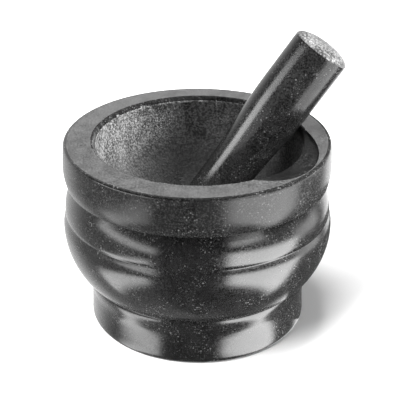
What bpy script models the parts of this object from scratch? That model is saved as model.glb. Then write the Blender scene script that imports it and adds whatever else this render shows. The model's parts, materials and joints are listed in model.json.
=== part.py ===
"""Stone mortar with two turned rolls and a drum base, and its loose pestle.

Metres, +Z up.  The origin is the centre of the flat underside, and the mortar
stands on Z = 0.  The pestle leans in the bowl, touching its floor and its rim.
"""
import math

import bpy

MM = 0.001

# Mortar, outside.  Each pair is a radius and a depth below the rim face.
HEIGHT = 116.5 * MM
RIM_FACE_RADIUS = 79.3 * MM
RIM_EDGE = (80.0 * MM, 1.0 * MM)
BAND_CREST = (80.7 * MM, 14.7 * MM)
BAND_FOOT = (79.0 * MM, 24.0 * MM)
UPPER_GROOVE = (75.0 * MM, 25.3 * MM)
UPPER_ROLL_CREST = (80.6 * MM, 43.0 * MM)
MIDDLE_GROOVE = (80.0 * MM, 44.8 * MM)
LOWER_ROLL_CREST = (81.9 * MM, 52.8 * MM)
LOWER_ROLL_FOOT = (70.6 * MM, 83.8 * MM)
LOWER_GROOVE = (66.2 * MM, 84.8 * MM)
BASE_TOP = (67.6 * MM, 87.2 * MM)
BASE_RADIUS = 66.6 * MM
BASE_FILLET = 3.0 * MM

# Mortar, bowl.  It is ground a little off the outside's axis.
BOWL_CENTRE = (1.4 * MM, 1.6 * MM)
BOWL_MOUTH_RADIUS = 64.3 * MM
BOWL_CHAMFER_DEPTH = 2.5 * MM
BOWL_WALL_RADIUS = 62.0 * MM
BOWL_DEPTH = 82.0 * MM
BOWL_FULLNESS = 2.2

# Mortar, pouring lip: a shallow dish ground across the rim face.
LIP_CENTRE = (34.3 * MM, -6.5 * MM)
LIP_HALF_WIDTH = 35.4 * MM
LIP_HALF_LENGTH = 51.8 * MM
LIP_DEPTH = 4.6 * MM
LIP_HEADING = math.radians(14.5)
LIP_RAISE = 0.2 * MM

# Pestle.  Distances along it run down from the edge of the grinding head.
HEAD_RADIUS = 18.0 * MM
HEAD_CROWN = 5.6 * MM
GRIP_RADIUS = 15.0 * MM
TAPER_START = 35.0 * MM
TAPER_END = 92.0 * MM
PESTLE_LENGTH = 153.0 * MM
FOOT_ROUNDING = 14.0 * MM
FOOT_FULLNESS = 2.4
PESTLE_FOOT = (-14.6 * MM, 8.7 * MM, 39.4 * MM)
PESTLE_LEAN = math.radians(35.7)
PESTLE_HEADING = math.radians(8.9)

# Mesh fineness.
ARC_POINTS = 5
BOWL_POINTS = 11
PESTLE_POINTS = 9
MORTAR_STEPS = 64
PESTLE_STEPS = 40
CUTTER_OVERSHOOT = 4.0 * MM
MERGE_DISTANCE = 0.01 * MM


def clear_scene():
    for obj in list(bpy.data.objects):
        bpy.data.objects.remove(obj)


def new_collection(name):
    collection = bpy.data.collections.new(name)
    bpy.context.scene.collection.children.link(collection)
    return collection


def new_material(name, colour, roughness):
    material = bpy.data.materials.new(name)
    material.use_nodes = True
    shader = material.node_tree.nodes["Principled BSDF"]
    shader.inputs["Base Color"].default_value = (*colour, 1.0)
    shader.inputs["Roughness"].default_value = roughness
    shader.inputs["Metallic"].default_value = 0.0
    material.diffuse_color = (*colour, 1.0)
    return material


def turned_solid(name, profile, steps, collection):
    """Turn (radius, height) points, listed from the top down, about local Z."""
    mesh = bpy.data.meshes.new(name)
    points = [(radius, 0.0, height) for radius, height in profile]
    edges = [(i, i + 1) for i in range(len(points) - 1)]
    mesh.from_pydata(points, edges, [])
    solid = bpy.data.objects.new(name, mesh)
    collection.objects.link(solid)
    turn = solid.modifiers.new("turn", "SCREW")
    turn.axis = "Z"
    turn.angle = 2.0 * math.pi
    turn.screw_offset = 0.0
    turn.steps = steps
    turn.render_steps = steps
    turn.use_merge_vertices = True
    turn.merge_threshold = MERGE_DISTANCE
    turn.use_smooth_shade = True
    return solid


def cut(solid, cutter, name):
    cutter.hide_render = True
    cutter.display_type = "WIRE"
    boolean = solid.modifiers.new(name, "BOOLEAN")
    boolean.operation = "DIFFERENCE"
    boolean.solver = "EXACT"
    boolean.object = cutter


def even_shading(solid):
    """Weight the smooth shading by face area, so that flat faces look flat."""
    solid.modifiers.new("even shading", "WEIGHTED_NORMAL")


def at_depth(point):
    """Turn a (radius, depth below the rim) pair into (radius, height)."""
    radius, depth = point
    return (radius, HEIGHT - depth)


def arc_from_crest(crest, end, count):
    """Arc that is upright at the crest and runs to the end point, up or down."""
    inset = crest[0] - end[0]
    rise = end[1] - crest[1]
    arc_radius = (inset ** 2 + rise ** 2) / (2.0 * inset)
    sweep = math.asin(rise / arc_radius)
    points = []
    for i in range(count + 1):
        angle = sweep * i / count
        radius = crest[0] - arc_radius * (1.0 - math.cos(angle))
        points.append((radius, crest[1] + arc_radius * math.sin(angle)))
    return points


def roll(top, crest, bottom):
    """One bulging band: an arc from its top edge to the crest and on down."""
    upper = arc_from_crest(crest, top, ARC_POINTS)
    lower = arc_from_crest(crest, bottom, ARC_POINTS)
    return upper[::-1] + lower[1:]


def mortar_profile():
    profile = [(0.0, HEIGHT), (RIM_FACE_RADIUS, HEIGHT)]
    profile += roll(at_depth(RIM_EDGE), at_depth(BAND_CREST), at_depth(BAND_FOOT))
    profile += roll(at_depth(UPPER_GROOVE), at_depth(UPPER_ROLL_CREST), at_depth(MIDDLE_GROOVE))
    lower_roll = roll(at_depth(MIDDLE_GROOVE), at_depth(LOWER_ROLL_CREST), at_depth(LOWER_ROLL_FOOT))
    profile += lower_roll[1:]
    profile += [at_depth(LOWER_GROOVE), at_depth(BASE_TOP)]
    for i in range(ARC_POINTS):
        angle = 0.5 * math.pi * i / (ARC_POINTS - 1)
        radius = BASE_RADIUS - BASE_FILLET * (1.0 - math.cos(angle))
        profile.append((radius, BASE_FILLET * (1.0 - math.sin(angle))))
    profile.append((0.0, 0.0))
    return profile


def bowl_profile():
    """Cutter for the bowl: a chamfered mouth over a rounded, deep hollow."""
    chamfer_slope = (BOWL_MOUTH_RADIUS - BOWL_WALL_RADIUS) / BOWL_CHAMFER_DEPTH
    top = HEIGHT + CUTTER_OVERSHOOT
    profile = [(0.0, top), (BOWL_MOUTH_RADIUS + chamfer_slope * CUTTER_OVERSHOOT, top)]
    power = 2.0 / BOWL_FULLNESS
    for i in range(BOWL_POINTS):
        angle = 0.5 * math.pi * i / BOWL_POINTS
        radius = BOWL_WALL_RADIUS * math.cos(angle) ** power
        drop = (BOWL_DEPTH - BOWL_CHAMFER_DEPTH) * math.sin(angle) ** power
        profile.append((radius, HEIGHT - BOWL_CHAMFER_DEPTH - drop))
    profile.append((0.0, HEIGHT - BOWL_DEPTH))
    return profile


def pestle_radius(distance):
    """Radius of the shaft, from the full head down to the slimmer grip."""
    blend = (distance - TAPER_START) / (TAPER_END - TAPER_START)
    blend = min(max(blend, 0.0), 1.0)
    return HEAD_RADIUS - (HEAD_RADIUS - GRIP_RADIUS) * blend ** 2 * (3.0 - 2.0 * blend)


def pestle_profile():
    """Pestle standing on its foot, with the grinding head at the top."""
    profile = []
    for i in range(PESTLE_POINTS):
        angle = 0.5 * math.pi * (1.0 - i / PESTLE_POINTS)
        radius = HEAD_RADIUS * math.cos(angle)
        profile.append((radius, PESTLE_LENGTH + HEAD_CROWN * math.sin(angle)))
    profile[0] = (0.0, PESTLE_LENGTH + HEAD_CROWN)
    shaft = PESTLE_LENGTH - FOOT_ROUNDING
    for i in range(PESTLE_POINTS):
        distance = shaft * i / PESTLE_POINTS
        profile.append((pestle_radius(distance), PESTLE_LENGTH - distance))
    for i in range(PESTLE_POINTS):
        angle = 0.5 * math.pi * i / PESTLE_POINTS
        drop = math.sin(angle)
        radius = GRIP_RADIUS * math.sqrt(1.0 - drop ** FOOT_FULLNESS)
        profile.append((radius, FOOT_ROUNDING * (1.0 - drop)))
    profile.append((0.0, 0.0))
    return profile


def lip_cutter(collection):
    """Flat ellipsoid whose lower half dishes the rim face."""
    bpy.ops.mesh.primitive_uv_sphere_add(segments=56, ring_count=20, radius=1.0)
    cutter = bpy.context.object
    cutter.name = "lip_cutter"
    cutter.scale = (LIP_HALF_WIDTH, LIP_HALF_LENGTH, LIP_DEPTH)
    bpy.ops.object.transform_apply(location=False, rotation=False, scale=True)
    cutter.location = (*LIP_CENTRE, HEIGHT + LIP_RAISE)
    cutter.rotation_euler = (0.0, 0.0, LIP_HEADING)
    for owner in list(cutter.users_collection):
        owner.objects.unlink(cutter)
    collection.objects.link(cutter)
    return cutter


def build_mortar(parts, cutters):
    mortar = turned_solid("mortar", mortar_profile(), MORTAR_STEPS, parts)
    bowl = turned_solid("bowl_cutter", bowl_profile(), MORTAR_STEPS, cutters)
    bowl.location = (*BOWL_CENTRE, 0.0)
    cut(mortar, bowl, "hollow out the bowl")
    cut(mortar, lip_cutter(cutters), "grind the pouring lip")
    even_shading(mortar)
    mortar.data.materials.append(new_material("black granite", (0.035, 0.035, 0.036), 0.22))
    return mortar


def build_pestle(parts):
    """The pestle's origin is its foot, on its own axis, along which it lifts."""
    pestle = turned_solid("pestle", pestle_profile(), PESTLE_STEPS, parts)
    pestle.location = PESTLE_FOOT
    pestle.rotation_euler = (0.0, PESTLE_LEAN, PESTLE_HEADING)
    even_shading(pestle)
    pestle.data.materials.append(new_material("pestle granite", (0.03, 0.03, 0.031), 0.2))
    return pestle


def main():
    clear_scene()
    parts = new_collection("mortar_and_pestle")
    cutters = new_collection("cutters")
    build_mortar(parts, cutters)
    build_pestle(parts)


main()
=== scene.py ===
"""Looks of a turned granite mortar and its loose pestle.

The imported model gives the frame.  The mortar and the pestle are rebuilt here as
fine turned meshes with softened edges, a ground pouring lip and pecked, rough
stone where the grinding happens.

The dark polish shows mostly what it mirrors.  So the world holds softboxes that only
reflections see, and each light falls on its own objects.
"""
import json
import math

import bpy
import numpy as np
from mathutils import Matrix, Vector, noise


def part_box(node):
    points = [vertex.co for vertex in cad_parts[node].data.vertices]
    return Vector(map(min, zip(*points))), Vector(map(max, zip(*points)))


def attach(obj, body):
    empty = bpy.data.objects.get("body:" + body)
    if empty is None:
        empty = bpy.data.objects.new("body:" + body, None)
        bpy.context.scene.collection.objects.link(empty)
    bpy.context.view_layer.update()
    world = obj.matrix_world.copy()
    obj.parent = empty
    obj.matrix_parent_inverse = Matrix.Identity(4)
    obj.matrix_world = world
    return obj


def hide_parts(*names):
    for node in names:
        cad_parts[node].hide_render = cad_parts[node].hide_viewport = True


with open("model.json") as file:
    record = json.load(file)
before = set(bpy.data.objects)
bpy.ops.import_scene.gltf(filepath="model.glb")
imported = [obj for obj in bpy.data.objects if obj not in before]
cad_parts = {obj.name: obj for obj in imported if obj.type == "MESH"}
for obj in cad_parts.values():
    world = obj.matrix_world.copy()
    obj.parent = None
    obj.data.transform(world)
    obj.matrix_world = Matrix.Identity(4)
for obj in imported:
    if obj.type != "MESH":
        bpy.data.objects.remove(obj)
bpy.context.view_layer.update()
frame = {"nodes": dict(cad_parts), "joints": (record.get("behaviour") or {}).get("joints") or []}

MM = 0.001
PER_MM = 1000.0

# Mortar, outside.  Each pair is a radius and a depth below the rim face.
RIM_FACE_RADIUS = 79.3 * MM
RIM_EDGE = (80.0 * MM, 1.0 * MM)
BAND_CREST = (80.7 * MM, 14.7 * MM)
BAND_FOOT = (79.0 * MM, 24.0 * MM)
UPPER_GROOVE = (75.0 * MM, 25.3 * MM)
UPPER_ROLL_CREST = (80.6 * MM, 43.0 * MM)
MIDDLE_GROOVE = (80.0 * MM, 44.8 * MM)
LOWER_ROLL_CREST = (81.9 * MM, 52.8 * MM)
LOWER_ROLL_FOOT = (70.6 * MM, 83.8 * MM)
LOWER_GROOVE = (66.2 * MM, 84.8 * MM)
BASE_RADIUS = 66.6 * MM
BASE_FILLET = 3.0 * MM

# Mortar, the base's wall.  Each pair is a radius and a height above the foot.
BASE_WAIST = (66.1 * MM, 18.5 * MM)
BASE_BEAD = (67.6 * MM, 28.6 * MM)

# Mortar, bowl and pouring lip.  The lip is a dish with an oval outline on the rim face.
BOWL_CENTRE = (1.4 * MM, 1.6 * MM)
BOWL_MOUTH_RADIUS = 64.3 * MM
BOWL_CHAMFER_DEPTH = 2.5 * MM
BOWL_WALL_RADIUS = 62.0 * MM
BOWL_DEPTH = 82.0 * MM
BOWL_FULLNESS = 2.2
LIP_CENTRE = (34.3 * MM, -6.5 * MM)
LIP_HALF_WIDTH = 35.4 * MM
LIP_HALF_LENGTH = 51.8 * MM
LIP_DEPTH = 4.6 * MM
LIP_HEADING = math.radians(14.5)
LIP_RAISE = 0.2 * MM

# Pestle.  Distances along it run down from the edge of the grinding head.
HEAD_RADIUS = 18.0 * MM
HEAD_CROWN = 5.6 * MM
GRIP_RADIUS = 15.0 * MM
TAPER_START = 35.0 * MM
TAPER_END = 92.0 * MM
FOOT_ROUNDING = 14.0 * MM
FOOT_FULLNESS = 2.4

# Hammer marks.  Their depth is PECK_DEPTH times a middle value with a coarse and a fine
# swing.  HEAD_ heights are above the edge of the pestle's head.
PECK_SIZE = 2.6 * MM
FINE_PECK_SIZE = 0.45 * PECK_SIZE
PECK_DEPTH = 0.32 * MM
PECK_MIDDLE = 0.5
PECK_SWING = 0.36
FINE_PECK_SWING = 0.14
BOWL_PECKS_FADE = 3.0 * MM
HEAD_PECKS_FROM = -1.5 * MM
HEAD_PECKS_FULL = 0.5 * MM
HEAD_STONE_FROM = 0.3 * MM

# Chips along the lower edge of the bowl's chamfer.  They are full within CHIP_CORE and end
# at CHIP_REACH, both in chamfer depths.  There are none within CHIPLESS of the pouring lip's
# middle, counted so that the lip's outline is at 1.
CHIP_SIZE = 5.0 * MM
CHIP_DEPTH = 0.6 * MM
CHIP_REACH = 2.0
CHIP_CORE = 0.4
CHIP_NOISE_LEVELS = (0.12, 0.5)
CHIPLESS = 1.1
POLISHED_CHAMFER_SHARE = 0.95

# Uneven grinding of the pouring lip.
GRINDING_SIZE = 8.0 * MM
GRINDING_DEPTH = 0.35 * MM
GRINDING_FADE = 1.0 * MM
LIP_STONE_MARGIN = 1.0 * MM

# Mesh fineness.  Each spacing is the longest step along an outline and the most that
# it turns between two points.  The ledges are how far the outside's and the bowl's
# outlines run onto the flat rim face.  Where the lip's outline doesn't cross the rim
# face, its rings gather at WIDEST_RIM_SHARE of the way across.
SEGMENTS = 440
PESTLE_SEGMENTS = 200
OUTSIDE_SPACING = (4.5 * MM, math.radians(14.0))
BOWL_SPACING = (1.15 * MM, math.radians(60.0))
PESTLE_SPACING = (1.6 * MM, math.radians(8.0))
LINE_SPACING = 0.1 * MM
EDGE_SOFTNESS = 0.45 * MM
PESTLE_EDGE_SOFTNESS = 0.3 * MM
GAUSSIAN_REACH = 4.0
ARC_POINTS = 40
FILLET_POINTS = 8
BASE_POINTS = 14
BOWL_POINTS = 160
RIM_LEDGE = 1.5 * MM
MOUTH_LEDGE = 0.5 * RIM_LEDGE
RIM_RINGS = 11
LIP_RINGS = 11
LIP_RING_CROWDING = 1.6
LIP_SEARCH_STEPS = 400
WIDEST_RIM_SHARE = 0.93

# Which stone each row of faces has, as its place in the piece's list of materials.
POLISHED, SATIN, HONED, LIP, PECKED = range(5)
SHAFT, HEAD = range(2)

# Granites.  All greys are linear.
#   tones: the dark and the light grey of the ground mass
#   flecks: the grey of the bright crystals, their rarity and their roughness
#   roughness: its range over the ground mass
#   relief: the surface grain's bumps per millimetre and its depth
#   shine: the shader's specular level
#   grains: the ground mass's grains per millimetre, and the noise levels of its dark and light
#   darker_below: the depths below the rim where the tone is fully darker and more even, and where that
#       change begins
FINE_GRAINS = (0.9, 0.36, 0.66)
PECKED_GRAINS = (0.75, 0.42, 0.61)
GRANITES = {
    "polished granite": {
        "tones": (0.004, 0.022), "flecks": (0.22, 9.0, 0.5), "roughness": (0.12, 0.24),
        "relief": (1.1, 0.02 * MM), "shine": 1.0, "grains": FINE_GRAINS},
    "satin granite": {
        "tones": (0.008, 0.03), "flecks": (0.22, 9.0, 0.5), "roughness": (0.2, 0.3),
        "relief": (1.1, 0.02 * MM), "shine": 0.4, "grains": FINE_GRAINS},
    "honed granite": {
        "tones": (0.025, 0.095), "flecks": (0.14, 4.0, 0.6), "roughness": (0.36, 0.5),
        "relief": (1.4, 0.16 * MM), "shine": 0.6, "grains": FINE_GRAINS},
    # The lip's dark tones are partly the ground dish's own darker finish and partly painted shade in the
    # dish.
    "lip granite with painted shade": {
        "tones": (0.002, 0.014), "flecks": (0.1, 6.0, 0.6), "roughness": (0.34, 0.42),
        "relief": (0.7, 0.15 * MM), "shine": 0.5, "grains": FINE_GRAINS},
    "pecked granite": {
        "tones": (0.02, 0.25), "flecks": (0.5, 3.0, 0.8), "roughness": (0.7, 0.85),
        "relief": (0.8, 0.6 * MM), "shine": 0.8, "grains": PECKED_GRAINS,
        "darker_below": (42.0 * MM, 12.0 * MM)},
    "pestle head granite": {
        "tones": (0.02, 0.2), "flecks": (0.34, 3.0, 0.8), "roughness": (0.7, 0.85),
        "relief": (0.7, 0.6 * MM), "shine": 0.8, "grains": PECKED_GRAINS},
    "pestle granite": {
        "tones": (0.003, 0.019), "flecks": (0.13, 8.0, 0.5), "roughness": (0.16, 0.26),
        "relief": (1.1, 0.02 * MM), "shine": 0.32, "grains": FINE_GRAINS},
}

# What all the granites share.  Scales are per millimetre, and levels are noise values
# that become 0 and 1.  The darker stone deep in the bowl keeps DEEP_CONTRAST of its contrast.
CLOUD_SCALE = 0.1
CLOUD_LEVELS = (0.35, 0.65)
GRAIN_SHARE = 0.7
PATCH_SCALE = 0.07
PATCH_LEVELS = (0.4, 0.62)
SPARSE_FLECKS = 0.15
CRYSTAL_SCALE = 0.9
CRYSTAL_EDGE = (0.6, 0.2)
SMALL_CRYSTAL_SCALE = 1.9
SMALL_CRYSTAL_RARITY = 0.6
SMALL_CRYSTAL_BRIGHTNESS = 0.6
CRYSTAL_RELIEF = 0.5
GRANITE_IOR = 1.5
# Deep in the bowl the tone is multiplied by DEEP_TONE.
DEEP_TONE = 0.62
DEEP_CONTRAST = 0.4

# Studio.  Directions are in degrees: azimuth runs from the front to the right, and
# elevation up from the horizon.  AMBIENT is the even light from all around.
AMBIENT = 0.26
FLOOR_SIZE = 8.0
FLOOR_TONE = 0.9
STAGE_MIDDLE = (0.0, 0.0, 0.06)
LIGHT_DISTANCE = 1.5

# Painted shadow reflection: a dark card in the shadow's place that glows faintly and which only
# reflections see, so the polish mirrors painted shade there.
CARD_MIDDLE = (0.13, 0.05)
CARD_REACH = (0.09, 0.1)
CARD_HEIGHT = 0.5 * MM
PAINTED_SHADOW_GLOW = 0.12
CARD_SIDES = 64

# Softboxes, which only reflections see.  A softbox's lower and upper edge each drop by
# their slant for every degree of azimuth beyond its front side; a negative slant rises.
SOFTBOXES = [
    {"azimuth": (-96.0, -41.0), "elevation": (-34.5, -19.0), "slants": (0.36, 0.3),
     "strength": 3.5, "fade": 5.0, "side_fade": 4.0},
    {"azimuth": (25.0, 89.0), "elevation": (-32.0, 0.0), "slants": (0.36, 0.16),
     "strength": 5.75, "fade": 5.0, "side_fade": 6.0},
    {"azimuth": (86.0, 118.0), "elevation": (-16.0, 2.0), "slants": (0.0, 0.0),
     "strength": 1.5, "fade": 5.0, "side_fade": 6.0},
    {"azimuth": (-90.0, -34.0), "elevation": (-6.0, 7.0), "slants": (-0.2, -0.2),
     "strength": 2.8, "fade": 4.0, "side_fade": 4.0},
    {"azimuth": (28.0, 57.0), "elevation": (12.0, 24.0), "slants": (0.0, 0.0),
     "strength": 3.0, "fade": 4.0, "side_fade": 3.5},
]

# The room behind the softboxes.  Each edge is the two directions between which its glow
# sets in, and the ceiling's edge is where the room dims to CEILING_SHARE.
FRONT_EDGE = (20.0, 60.0)
FRONT_GLOW = 0.06
SIDE_GLOW = 0.18
LEFT_EDGE = (-25.0, -60.0)
LEFT_GLOW = 0.15
BEHIND_LEFT_EDGE = (-98.0, -140.0)
BEHIND_LEFT_GLOW = 0.85
BEHIND_RIGHT_EDGE = (124.0, 142.0)
BEHIND_RIGHT_TOP = (15.0, -5.0)
BEHIND_RIGHT_GLOW = 2.0
BEHIND_FOOT_EDGE = (-62.0, -42.0)
CEILING_EDGE = (8.0, 40.0)
CEILING_SHARE = 0.15

# Lights, each on its own list of objects.  A sun's angle is how wide it looks, in degrees.
LIGHTS = [
    {"name": "key", "lit": ("mortar", "pestle"), "kind": "SUN",
     "azimuth": -88.0, "elevation": 76.0, "energy": math.pi, "angle": 26.0},
    {"name": "bowl light", "lit": ("mortar",), "kind": "AREA",
     "azimuth": 109.0, "elevation": 35.0, "energy": 100.0, "size": 0.7},
    {"name": "pestle side light", "lit": ("pestle",), "kind": "AREA",
     "azimuth": 66.0, "elevation": 42.0, "energy": 85.0, "size": 0.8},
    {"name": "pestle stripe light", "lit": ("pestle",), "kind": "AREA",
     "azimuth": -80.0, "elevation": 17.0, "energy": 20.0, "size": 0.72, "mirrored": True},
    {"name": "floor top light", "lit": ("floor",), "kind": "SUN",
     "azimuth": -100.0, "elevation": 85.5, "energy": 0.85 * math.pi, "angle": 18.0},
    {"name": "floor side light", "lit": ("floor",), "kind": "SUN",
     "azimuth": -62.0, "elevation": 42.0, "energy": 2.2 * math.pi, "angle": 45.0},
    {"name": "floor fill light", "lit": ("floor",), "kind": "SUN",
     "azimuth": 100.0, "elevation": 45.0, "energy": 0.28 * math.pi, "angle": 60.0},
]

# Camera: its lens and sensor in millimetres, and how far down it looks, in radians.
CAMERA_LENS = 105.82
CAMERA_SENSOR = 36.0
CAMERA_PITCH = 0.4774
CAMERA_DISTANCE = 0.72
CAMERA_TARGET = (1.632 * MM, 0.0, 74.97 * MM)


# ---------------------------------------------------------------- outlines

def smoothstep(low, high, value):
    share = np.clip((value - low) / (high - low), 0.0, 1.0)
    return share * share * (3.0 - 2.0 * share)


def at_depth(point, height):
    """Turn a (radius, depth below the rim) pair into (radius, height)."""
    return (point[0], height - point[1])


def arc_from_crest(crest, end):
    """Arc that is upright at the crest and runs to the end point, up or down."""
    inset = crest[0] - end[0]
    rise = end[1] - crest[1]
    arc_radius = (inset ** 2 + rise ** 2) / (2.0 * inset)
    sweep = math.asin(rise / arc_radius)
    angles = np.linspace(0.0, sweep, ARC_POINTS)
    radii = crest[0] - arc_radius * (1.0 - np.cos(angles))
    return list(zip(radii, crest[1] + arc_radius * np.sin(angles)))


def roll(bottom, crest, top):
    """One bulging band, from its bottom edge up over the crest to its top edge."""
    return arc_from_crest(crest, bottom)[::-1] + arc_from_crest(crest, top)[1:]


def dense_line(points):
    """The same outline with evenly spaced points."""
    points = np.array(points)
    steps = np.hypot(*np.diff(points, axis=0).T)
    along = np.concatenate([[0.0], np.cumsum(steps)])
    places = np.linspace(0.0, along[-1], int(along[-1] / LINE_SPACING) + 1)
    return np.column_stack([np.interp(places, along, points[:, k]) for k in (0, 1)])


def softened(points, softness):
    """Round an outline's corners with a Gaussian, keeping its two ends in place."""
    line = dense_line(points)
    reach = int(GAUSSIAN_REACH * softness / LINE_SPACING)
    offsets = np.arange(-reach, reach + 1) * LINE_SPACING
    weights = np.exp(-0.5 * (offsets / softness) ** 2)
    weights /= weights.sum()
    padded = np.pad(line, ((reach, reach), (0, 0)), mode="reflect", reflect_type="odd")
    return np.column_stack([np.convolve(padded[:, k], weights, "valid") for k in (0, 1)])


def respaced(line, longest, turn):
    """Keep fewer points of a dense line, closer together where it turns."""
    steps = np.diff(line, axis=0)
    lengths = np.hypot(steps[:, 0], steps[:, 1])
    headings = np.unwrap(np.arctan2(steps[:, 1], steps[:, 0]))
    turning = np.abs(np.gradient(headings))
    cost = np.concatenate([[0.0], np.cumsum(lengths / longest + turning / turn)])
    places = np.linspace(0.0, cost[-1], int(math.ceil(cost[-1])) + 1)
    return np.column_stack([np.interp(places, cost, line[:, k]) for k in (0, 1)])


def base_outline(height):
    """The drum base: a rounded foot, a hollow wall and a bead under the groove."""
    line = [(0.0, 0.0)]
    for angle in np.linspace(0.5 * math.pi, 0.0, FILLET_POINTS):
        radius = BASE_RADIUS - BASE_FILLET * (1.0 - math.cos(angle))
        line.append((radius, BASE_FILLET * (1.0 - math.sin(angle))))
    waist_radius, waist_height = BASE_WAIST
    for z in np.linspace(BASE_FILLET, waist_height, BASE_POINTS)[1:]:
        share = (waist_height - z) / (waist_height - BASE_FILLET)
        line.append((waist_radius + (BASE_RADIUS - waist_radius) * share ** 2, z))
    bead_radius, bead_height = BASE_BEAD
    for z in np.linspace(waist_height, bead_height, BASE_POINTS)[1:-1]:
        share = smoothstep(waist_height, bead_height, z)
        line.append((waist_radius + (bead_radius - waist_radius) * share, z))
    return line + arc_from_crest(BASE_BEAD, at_depth(LOWER_GROOVE, height))


def outside_outline(height):
    """The mortar's outside, from the underside's centre up onto the rim face."""
    middle = at_depth(MIDDLE_GROOVE, height)
    line = base_outline(height)
    line += roll(at_depth(LOWER_ROLL_FOOT, height), at_depth(LOWER_ROLL_CREST, height), middle)
    line += roll(middle, at_depth(UPPER_ROLL_CREST, height), at_depth(UPPER_GROOVE, height))[1:]
    line += roll(at_depth(BAND_FOOT, height), at_depth(BAND_CREST, height), at_depth(RIM_EDGE, height))
    line += [(RIM_FACE_RADIUS, height), (RIM_FACE_RADIUS - RIM_LEDGE, height)]
    return respaced(softened(line, EDGE_SOFTNESS), *OUTSIDE_SPACING)


def bowl_outline(height):
    """The bowl, from its mouth on the rim face down to its deepest point."""
    angles = np.linspace(0.0, 0.5 * math.pi, BOWL_POINTS)
    power = 2.0 / BOWL_FULLNESS
    radii = BOWL_WALL_RADIUS * np.cos(angles) ** power
    drops = (BOWL_DEPTH - BOWL_CHAMFER_DEPTH) * np.sin(angles) ** power
    line = [(BOWL_MOUTH_RADIUS + MOUTH_LEDGE, height), (BOWL_MOUTH_RADIUS, height)]
    line += list(zip(radii, height - BOWL_CHAMFER_DEPTH - drops))
    return respaced(softened(line, EDGE_SOFTNESS), *BOWL_SPACING)


def pestle_outline(length):
    """The pestle's side, from its foot up to the crown of its head."""
    head = length - HEAD_CROWN
    line = []
    for angle in np.linspace(0.5 * math.pi, 0.0, ARC_POINTS):
        drop = math.sin(angle)
        radius = GRIP_RADIUS * math.sqrt(max(1.0 - drop ** FOOT_FULLNESS, 0.0))
        line.append((radius, FOOT_ROUNDING * (1.0 - drop)))
    for distance in np.linspace(head - FOOT_ROUNDING, 0.0, ARC_POINTS):
        narrowing = smoothstep(TAPER_START, TAPER_END, distance)
        line.append((HEAD_RADIUS - (HEAD_RADIUS - GRIP_RADIUS) * narrowing, head - distance))
    for angle in np.linspace(0.0, 0.5 * math.pi, ARC_POINTS)[1:]:
        line.append((HEAD_RADIUS * math.cos(angle), head + HEAD_CROWN * math.sin(angle)))
    return respaced(softened(line, PESTLE_EDGE_SOFTNESS), *PESTLE_SPACING)


# ---------------------------------------------------------------- mesh making

def ring(radius, z, angles, centre=(0.0, 0.0)):
    """Points round a circle at one height."""
    x = centre[0] + radius * np.cos(angles)
    y = centre[1] + radius * np.sin(angles)
    return np.column_stack([x, y, np.full(len(angles), z)])


def lathe_faces(ring_count, segments):
    """Quads between rings, with a fan of triangles at the first and last ring."""
    faces = []
    for j in range(segments):
        k = (j + 1) % segments
        faces.append((0, 1 + k, 1 + j))
        for i in range(ring_count - 1):
            low = 1 + i * segments
            faces.append((low + j, low + k, low + segments + k, low + segments + j))
        last = 1 + (ring_count - 1) * segments
        faces.append((last + j, last + k, last + segments))
    return faces


def lathe_object(name, first, rings, last, face_rows, materials):
    """Closed mesh from a first point, rings of points and a last point.

    face_rows: for each row of faces, from first to last, a material number for each segment.
    """
    points = np.concatenate([[first]] + list(rings) + [[last]])
    mesh = bpy.data.meshes.new(name)
    mesh.from_pydata(points.tolist(), [], lathe_faces(len(rings), len(rings[0])))
    for material in materials:
        mesh.materials.append(material)
    numbers = np.array(face_rows).T.astype(np.int32)
    mesh.polygons.foreach_set("material_index", numbers.ravel())
    mesh.shade_smooth()
    made = bpy.data.objects.new(name, mesh)
    bpy.context.scene.collection.objects.link(made)
    return made


def vertex_values(mesh, what):
    """The vertices' positions or normals, one row each."""
    values = np.zeros(len(mesh.vertices) * 3, np.float32)
    mesh.vertices.foreach_get(what, values)
    return values.reshape(-1, 3).astype(float)


def sink(obj, depths):
    """Move each vertex into the stone by its own depth."""
    mesh = obj.data
    points = vertex_values(mesh, "co") - vertex_values(mesh, "normal") * np.array(depths)[:, None]
    mesh.vertices.foreach_set("co", points.astype(np.float32).ravel())
    mesh.update()


# ---------------------------------------------------------------- worked surfaces

def lip_coordinates(x, y):
    """Distance from the lip's middle, counted so that its outline is at 1."""
    dx = x - LIP_CENTRE[0]
    dy = y - LIP_CENTRE[1]
    across = dx * math.cos(LIP_HEADING) + dy * math.sin(LIP_HEADING)
    along = dy * math.cos(LIP_HEADING) - dx * math.sin(LIP_HEADING)
    return np.hypot(across / LIP_HALF_WIDTH, along / LIP_HALF_LENGTH)


def lip_depth(x, y):
    """How far the lip's dish lies below the rim face, 0 outside it."""
    reach = np.clip(1.0 - lip_coordinates(x, y) ** 2, 0.0, 1.0)
    return np.maximum(LIP_DEPTH * np.sqrt(reach) - LIP_RAISE, 0.0)


def lip_share(outer, inner):
    """How far across the rim face, from outer to inner, the lip's outline is."""
    shares = np.linspace(0.0, 1.0, LIP_SEARCH_STEPS)
    best = np.full(len(outer), WIDEST_RIM_SHARE)
    for share in shares[::-1]:
        point = outer + share * (inner - outer)
        inside = lip_depth(point[:, 0], point[:, 1]) > 0.0
        best = np.where(inside, np.minimum(best, share), best)
    return best


def peck_depth(point):
    """Depth of the hammer marks at a point, between 0 and PECK_DEPTH."""
    coarse = noise.noise(point / PECK_SIZE)
    fine = noise.noise(point / FINE_PECK_SIZE)
    return PECK_DEPTH * (PECK_MIDDLE + PECK_SWING * coarse + FINE_PECK_SWING * fine)


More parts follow.
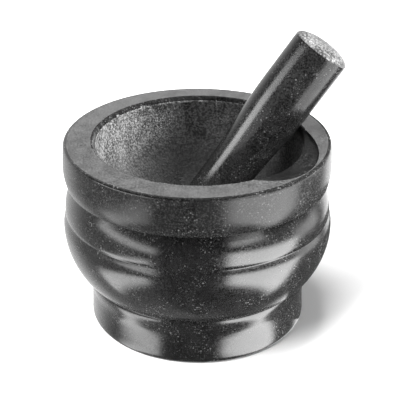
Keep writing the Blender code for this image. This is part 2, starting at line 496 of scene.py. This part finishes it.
def chip_depth(point, height):
    """Depth of the chips along the bowl's edge, away from the pouring lip."""
    if lip_coordinates(point.x, point.y) < CHIPLESS:
        return 0.0
    distance = abs(height - BOWL_CHAMFER_DEPTH - point.z) / BOWL_CHAMFER_DEPTH
    near_edge = smoothstep(CHIP_REACH, CHIP_CORE, distance)
    chipped = smoothstep(*CHIP_NOISE_LEVELS, noise.noise(point / CHIP_SIZE))
    return CHIP_DEPTH * near_edge * chipped


def grinding_depth(point):
    """Depth of the uneven grinding in the pouring lip."""
    inside = smoothstep(0.0, GRINDING_FADE, lip_depth(point.x, point.y))
    return GRINDING_DEPTH * inside * (0.5 + 0.5 * noise.noise(point / GRINDING_SIZE))


# ---------------------------------------------------------------- the mortar

def rim_places(share):
    """Where the rings across the rim face lie, crowded on both sides of the lip's outline."""
    places = []
    for step in np.linspace(0.0, 1.0, RIM_RINGS + 1)[1:]:
        places.append(share * (1.0 - (1.0 - step) ** LIP_RING_CROWDING))
    for step in np.linspace(0.0, 1.0, LIP_RINGS + 1)[1:-1]:
        places.append(share + (1.0 - share) * step ** LIP_RING_CROWDING)
    return places


def mortar_rings(height, bowl):
    """Rings from the underside up the outside, across the rim and down the bowl."""
    angles = np.linspace(0.0, 2.0 * math.pi, SEGMENTS, endpoint=False)
    rings = []
    rows = []
    for radius, z in outside_outline(height)[1:]:
        rings.append(ring(radius, z, angles))
        on_band = height - BAND_FOOT[1] < z < height - RIM_EDGE[1]
        rows.append(np.full(SEGMENTS, SATIN if on_band else POLISHED))
    mouth = ring(bowl[0][0], height, angles, BOWL_CENTRE)
    edge = rings[-1]
    for place in rim_places(lip_share(edge, mouth)):
        rings.append(edge + place[:, None] * (mouth - edge))
        rows.append(np.full(SEGMENTS, HONED))
    for radius, z in bowl[:-1]:
        points = ring(radius, z, angles, BOWL_CENTRE)
        rings.append(points)
        ragged = [CHIP_DEPTH * noise.noise(Vector(point) / CHIP_SIZE) for point in points]
        on_chamfer = z + np.array(ragged) > height - POLISHED_CHAMFER_SHARE * BOWL_CHAMFER_DEPTH
        rows.append(np.where(on_chamfer, POLISHED, PECKED))
    for points in rings:
        low = height - lip_depth(points[:, 0], points[:, 1])
        points[:, 2] = np.minimum(points[:, 2], low)
    return rings, rows


def mortar_face_rows(rings, rows, height):
    """The stone of each row of faces, with the lip's stone where its dish is ground."""
    in_lip = [lip_depth(points[:, 0], points[:, 1]) > 0.0 for points in rings]
    face_rows = [rows[0]]
    for i in range(1, len(rings)):
        kind = rows[i].copy()
        near_top = rings[i][:, 2] > height - LIP_DEPTH - LIP_STONE_MARGIN
        kind[near_top & in_lip[i] & in_lip[i - 1]] = LIP
        face_rows.append(kind)
    face_rows.append(rows[-1])
    return face_rows


def build_mortar(height, materials):
    bowl = bowl_outline(height)
    rings, rows = mortar_rings(height, bowl)
    face_rows = mortar_face_rows(rings, rows, height)
    underside = (0.0, 0.0, 0.0)
    deepest = (*BOWL_CENTRE, height - BOWL_DEPTH)
    mortar = lathe_object("mortar_stone", underside, rings, deepest, face_rows, materials)
    first_in_bowl = len(mortar.data.vertices) - SEGMENTS * (len(bowl) - 1)
    depths = []
    for vertex in mortar.data.vertices:
        if vertex.index >= first_in_bowl:
            pecked = smoothstep(0.0, BOWL_PECKS_FADE, height - BOWL_CHAMFER_DEPTH - vertex.co.z)
            depths.append(peck_depth(vertex.co) * pecked + chip_depth(vertex.co, height))
        elif vertex.co.z > height - LIP_DEPTH:
            depths.append(grinding_depth(vertex.co))
        else:
            depths.append(0.0)
    sink(mortar, depths)
    return mortar


# ---------------------------------------------------------------- the pestle

def pestle_line(node, axis):
    """The CAD pestle's foot, on its own axis, and its length."""
    points = np.array([vertex.co for vertex in node.data.vertices])
    centre = points.mean(axis=0)
    along = (points - centre) @ np.array(axis)
    return Vector(centre) + axis * float(along.min()), float(np.ptp(along))


def build_pestle(foot, axis, length, materials):
    """Turned upright about its foot, then leant onto its axis."""
    angles = np.linspace(0.0, 2.0 * math.pi, PESTLE_SEGMENTS, endpoint=False)
    rings = [ring(radius, z, angles) for radius, z in pestle_outline(length)[1:-1]]
    head = length - HEAD_CROWN
    kinds = [SHAFT]
    for points in rings[1:]:
        kinds.append(HEAD if points[0, 2] > head + HEAD_STONE_FROM else SHAFT)
    kinds.append(HEAD)
    face_rows = [np.full(PESTLE_SEGMENTS, kind) for kind in kinds]
    crown = (0.0, 0.0, length)
    pestle = lathe_object("pestle_stone", (0.0, 0.0, 0.0), rings, crown, face_rows, materials)
    depths = []
    for vertex in pestle.data.vertices:
        on_head = smoothstep(head + HEAD_PECKS_FROM, head + HEAD_PECKS_FULL, vertex.co.z)
        depths.append(peck_depth(vertex.co) * on_head)
    sink(pestle, depths)
    upright_to_lean = axis.to_track_quat("Z", "Y").to_matrix().to_4x4()
    pestle.data.transform(Matrix.Translation(foot) @ upright_to_lean)
    return pestle


# ---------------------------------------------------------------- materials

class Graph:
    """Makes and joins the nodes of one material or world."""

    def __init__(self, tree):
        self.tree = tree
        tree.nodes.clear()

    def node(self, kind, inputs=(), output=0, **settings):
        """Make a node, link or set its inputs, and return one of its outputs."""
        made = self.tree.nodes.new(kind)
        for name, value in settings.items():
            setattr(made, name, value)
        for key, value in dict(inputs).items():
            if isinstance(value, bpy.types.NodeSocket):
                self.tree.links.new(value, made.inputs[key])
            else:
                made.inputs[key].default_value = value
        return made.outputs[output] if made.outputs else made

    def math(self, operation, a, b=0.0):
        return self.node("ShaderNodeMath", {0: a, 1: b}, operation=operation)

    def ramp(self, value, low, high, out_low=0.0, out_high=1.0):
        inputs = {"Value": value, "From Min": low, "From Max": high, "To Min": out_low, "To Max": out_high}
        return self.node("ShaderNodeMapRange", inputs, interpolation_type="SMOOTHSTEP")

    def mix(self, share, a, b):
        return self.node("ShaderNodeMix", {0: share, 2: a, 3: b}, data_type="FLOAT")

    def noise(self, vector, scale, detail):
        return self.node("ShaderNodeTexNoise", {"Vector": vector, "Scale": scale, "Detail": detail})

    def cells(self, vector, scale, output):
        return self.node("ShaderNodeTexVoronoi", {"Vector": vector, "Scale": scale}, output=output)


def in_mm(graph):
    """The point on the stone, in millimetres."""
    place = graph.node("ShaderNodeTexCoord", output="Object")
    return graph.node("ShaderNodeVectorMath", {0: place, "Scale": PER_MM}, operation="SCALE")


def grey(graph, value):
    return graph.node("ShaderNodeCombineColor", {0: value, 1: value, 2: value})


def crystals(graph, place, scale, rarity):
    """Blunt spots, one in each cell: most are near 0, a few near 1."""
    pick = graph.node("ShaderNodeSeparateColor", {0: graph.cells(place, scale, "Color")})
    spot = graph.ramp(graph.cells(place, scale, "Distance"), *CRYSTAL_EDGE)
    return graph.math("MULTIPLY", graph.math("POWER", pick, rarity), spot)


def bright_specks(graph, place, rarity):
    """Large and small crystals, from 0 to 1, gathered in loose patches."""
    large = crystals(graph, place, CRYSTAL_SCALE, rarity)
    small = crystals(graph, place, SMALL_CRYSTAL_SCALE, SMALL_CRYSTAL_RARITY * rarity)
    brightest = graph.math("MAXIMUM", large, graph.math("MULTIPLY", small, SMALL_CRYSTAL_BRIGHTNESS))
    patches = graph.ramp(graph.noise(place, PATCH_SCALE, detail=2.0), *PATCH_LEVELS)
    return graph.math("MULTIPLY", brightest, graph.mix(patches, SPARSE_FLECKS, 1.0))


def darkened_below(graph, place, tone, blend, granite, rim_height):
    """The tone, made darker and more even below the given depths in the bowl."""
    deep, shallow = granite["darker_below"]
    height = graph.node("ShaderNodeSeparateXYZ", {0: place}, output=2)
    even = graph.mix(graph.mix(DEEP_CONTRAST, 0.5, blend), *granite["tones"])
    darkened_tone = graph.math("MULTIPLY", even, DEEP_TONE)
    above_depths = graph.ramp(height, (rim_height - deep) * PER_MM, (rim_height - shallow) * PER_MM)
    return graph.mix(above_depths, darkened_tone, tone)


def stone_material(name, rim_height):
    """Fine-grained granite with the settings that GRANITES gives it."""
    granite = GRANITES[name]
    fleck_tone, rarity, fleck_roughness = granite["flecks"]
    relief_scale, relief_depth = granite["relief"]
    grain_scale, dark_level, light_level = granite["grains"]
    material = bpy.data.materials.new(name)
    material.use_nodes = True
    graph = Graph(material.node_tree)
    place = in_mm(graph)
    clouds = graph.ramp(graph.noise(place, CLOUD_SCALE, detail=3.0), *CLOUD_LEVELS)
    grain = graph.ramp(graph.noise(place, grain_scale, detail=4.0), dark_level, light_level)
    blend = graph.mix(GRAIN_SHARE, clouds, grain)
    speck = bright_specks(graph, place, rarity)
    tone = graph.mix(speck, graph.mix(blend, *granite["tones"]), fleck_tone)
    if "darker_below" in granite:
        tone = darkened_below(graph, place, tone, blend, granite, rim_height)
    rough = graph.mix(speck, graph.mix(grain, *granite["roughness"]), fleck_roughness)
    raised = graph.math("MULTIPLY", speck, CRYSTAL_RELIEF)
    pits = graph.math("SUBTRACT", graph.noise(place, relief_scale, detail=4.0), raised)
    bump = graph.node("ShaderNodeBump", {"Height": pits, "Distance": relief_depth, "Strength": 1.0})
    shader = graph.node("ShaderNodeBsdfPrincipled", {
        "Base Color": grey(graph, tone), "Roughness": rough, "Normal": bump,
        "IOR": GRANITE_IOR, "Specular IOR Level": granite["shine"]})
    graph.node("ShaderNodeOutputMaterial", {"Surface": shader})
    return material


def floor_material():
    material = bpy.data.materials.new("white paper")
    material.use_nodes = True
    shader = material.node_tree.nodes["Principled BSDF"]
    shader.inputs["Base Color"].default_value = (FLOOR_TONE, FLOOR_TONE, FLOOR_TONE, 1.0)
    shader.inputs["Roughness"].default_value = 1.0
    shader.inputs["Specular IOR Level"].default_value = 0.0
    return material


# ---------------------------------------------------------------- studio

def softbox(graph, azimuth, elevation, box):
    """Brightness of one softbox in a direction."""
    start, end = box["azimuth"]
    low, high = box["elevation"]
    low_slant, high_slant = box["slants"]
    fade = box["fade"]
    side_fade = box["side_fade"]
    beyond = graph.math("SUBTRACT", graph.math("ABSOLUTE", azimuth), min(abs(start), abs(end)))
    above_low = graph.math("ADD", elevation, graph.math("MULTIPLY", beyond, low_slant))
    above_high = graph.math("ADD", elevation, graph.math("MULTIPLY", beyond, high_slant))
    edges = [
        graph.ramp(azimuth, start - side_fade, start + side_fade),
        graph.ramp(azimuth, end + side_fade, end - side_fade),
        graph.ramp(above_low, low - fade, low + fade),
        graph.ramp(above_high, high + fade, high - fade),
    ]
    light = graph.math("MULTIPLY", edges[0], box["strength"])
    for edge in edges[1:]:
        light = graph.math("MULTIPLY", light, edge)
    return light


def room_light(graph, azimuth, elevation):
    """The pale room, with a dark flag in front and a dim ceiling."""
    aside = graph.math("ABSOLUTE", azimuth)
    left = graph.ramp(azimuth, *LEFT_EDGE, 0.0, LEFT_GLOW)
    behind_left = graph.ramp(azimuth, *BEHIND_LEFT_EDGE, 0.0, BEHIND_LEFT_GLOW)
    right_glow = graph.ramp(azimuth, *BEHIND_RIGHT_EDGE, 0.0, BEHIND_RIGHT_GLOW)
    behind_right = graph.math("MULTIPLY", right_glow, graph.ramp(elevation, *BEHIND_RIGHT_TOP))
    above_foot = graph.ramp(elevation, *BEHIND_FOOT_EDGE)
    behind = graph.math("MULTIPLY", graph.math("ADD", behind_left, behind_right), above_foot)
    dim = graph.ramp(aside, *FRONT_EDGE, FRONT_GLOW, SIDE_GLOW)
    ceiling = graph.ramp(elevation, *CEILING_EDGE, 1.0, CEILING_SHARE)
    return graph.math("MULTIPLY", graph.math("ADD", dim, graph.math("ADD", left, behind)), ceiling)


def build_world():
    """White behind the object, an even soft light, and softboxes for the polish to mirror."""
    world = bpy.data.worlds.new("studio")
    bpy.context.scene.world = world
    world.use_nodes = True
    world.cycles.sampling_method = "NONE"
    graph = Graph(world.node_tree)
    direction = graph.node("ShaderNodeTexCoord", output="Generated")
    split = graph.tree.nodes.new("ShaderNodeSeparateXYZ")
    graph.tree.links.new(direction, split.inputs[0])
    x, y, z = split.outputs
    azimuth = graph.math("DEGREES", graph.math("ARCTAN2", x, graph.math("MULTIPLY", y, -1.0)))
    elevation = graph.math("DEGREES", graph.math("ARCSINE", z))
    light = room_light(graph, azimuth, elevation)
    for box in SOFTBOXES:
        light = graph.math("ADD", light, softbox(graph, azimuth, elevation, box))
    mirrored = graph.node("ShaderNodeLightPath", output="Is Glossy Ray")
    seen = graph.node("ShaderNodeLightPath", output="Is Camera Ray")
    strength = graph.mix(mirrored, graph.mix(seen, AMBIENT, 1.0), light)
    background = graph.node("ShaderNodeBackground", {"Color": (1.0, 1.0, 1.0, 1.0), "Strength": strength})
    graph.node("ShaderNodeOutputWorld", {"Surface": background})


def direction_from(azimuth, elevation):
    """Unit vector towards a direction of the studio."""
    around = math.radians(azimuth)
    up = math.radians(elevation)
    return Vector((math.sin(around) * math.cos(up), -math.cos(around) * math.cos(up), math.sin(up)))


def add_light(settings, lit_objects):
    """Soft light that reaches only its own objects and isn't seen by the camera."""
    name = settings["name"]
    data = bpy.data.lights.new(name, settings["kind"])
    data.energy = settings["energy"]
    if settings["kind"] == "SUN":
        data.angle = math.radians(settings["angle"])
    else:
        data.size = settings["size"]
    light = bpy.data.objects.new(name, data)
    bpy.context.scene.collection.objects.link(light)
    away = direction_from(settings["azimuth"], settings["elevation"])
    light.location = Vector(STAGE_MIDDLE) + away * LIGHT_DISTANCE
    light.rotation_euler = away.to_track_quat("Z", "Y").to_euler()
    light.visible_camera = False
    light.visible_glossy = settings.get("mirrored", False)
    lit = bpy.data.collections.new(name + " lights")
    for obj in lit_objects:
        lit.objects.link(obj)
    light.light_linking.receiver_collection = lit


def build_camera():
    """Camera in front of the object, looking down at its middle."""
    data = bpy.data.cameras.new("camera")
    data.lens = CAMERA_LENS
    data.sensor_width = CAMERA_SENSOR
    camera = bpy.data.objects.new("camera", data)
    bpy.context.scene.collection.objects.link(camera)
    backwards = Vector((0.0, -math.cos(CAMERA_PITCH), math.sin(CAMERA_PITCH)))
    camera.location = Vector(CAMERA_TARGET) + backwards * CAMERA_DISTANCE
    camera.rotation_euler = (0.5 * math.pi - CAMERA_PITCH, 0.0, 0.0)
    bpy.context.scene.camera = camera


def build_floor():
    bpy.ops.mesh.primitive_plane_add(size=FLOOR_SIZE, location=(0.0, 0.0, 0.0))
    floor = bpy.context.object
    floor.name = "floor"
    floor.data.materials.append(floor_material())
    floor.visible_glossy = False
    return floor


def build_painted_shadow_card():
    """Painted shadow reflection: a faintly glowing dark card where the object's shadow lies, seen only in
    what the polish mirrors.
    """
    bpy.ops.mesh.primitive_circle_add(vertices=CARD_SIDES, radius=1.0, fill_type="NGON")
    card = bpy.context.object
    card.name = "shadow_card"
    card.scale = (*CARD_REACH, 1.0)
    card.location = (*CARD_MIDDLE, CARD_HEIGHT)
    material = bpy.data.materials.new("painted shadow reflection")
    material.use_nodes = True
    graph = Graph(material.node_tree)
    # The card's faint glow is painted shade for the polish to mirror, not a lamp.
    glow = graph.node("ShaderNodeEmission", {"Strength": PAINTED_SHADOW_GLOW})
    graph.node("ShaderNodeOutputMaterial", {"Surface": glow})
    card.data.materials.append(material)
    card.visible_camera = False
    card.visible_diffuse = False
    card.visible_shadow = False


# ---------------------------------------------------------------- assembly

rim_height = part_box("mortar")[1].z
mortar_stones = ("polished granite", "satin granite", "honed granite", "lip granite with painted shade", "pecked granite")
mortar = build_mortar(rim_height, [stone_material(name, rim_height) for name in mortar_stones])
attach(mortar, "mortar")
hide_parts("mortar")

axis = Vector(frame["joints"][0]["axis"]).normalized()
foot, length = pestle_line(frame["nodes"]["pestle"], axis)
pestle_stones = ("pestle granite", "pestle head granite")
pestle = build_pestle(foot, axis, length, [stone_material(name, rim_height) for name in pestle_stones])
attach(pestle, "pestle")
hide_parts("pestle")

scene_objects = {"mortar": mortar, "pestle": pestle, "floor": build_floor()}
# Painted shadow reflection on the floor, for the polish to mirror.
build_painted_shadow_card()
build_world()
for settings in LIGHTS:
    add_light(settings, [scene_objects[name] for name in settings["lit"]])
build_camera()
bpy.context.scene.view_settings.view_transform = "Standard"
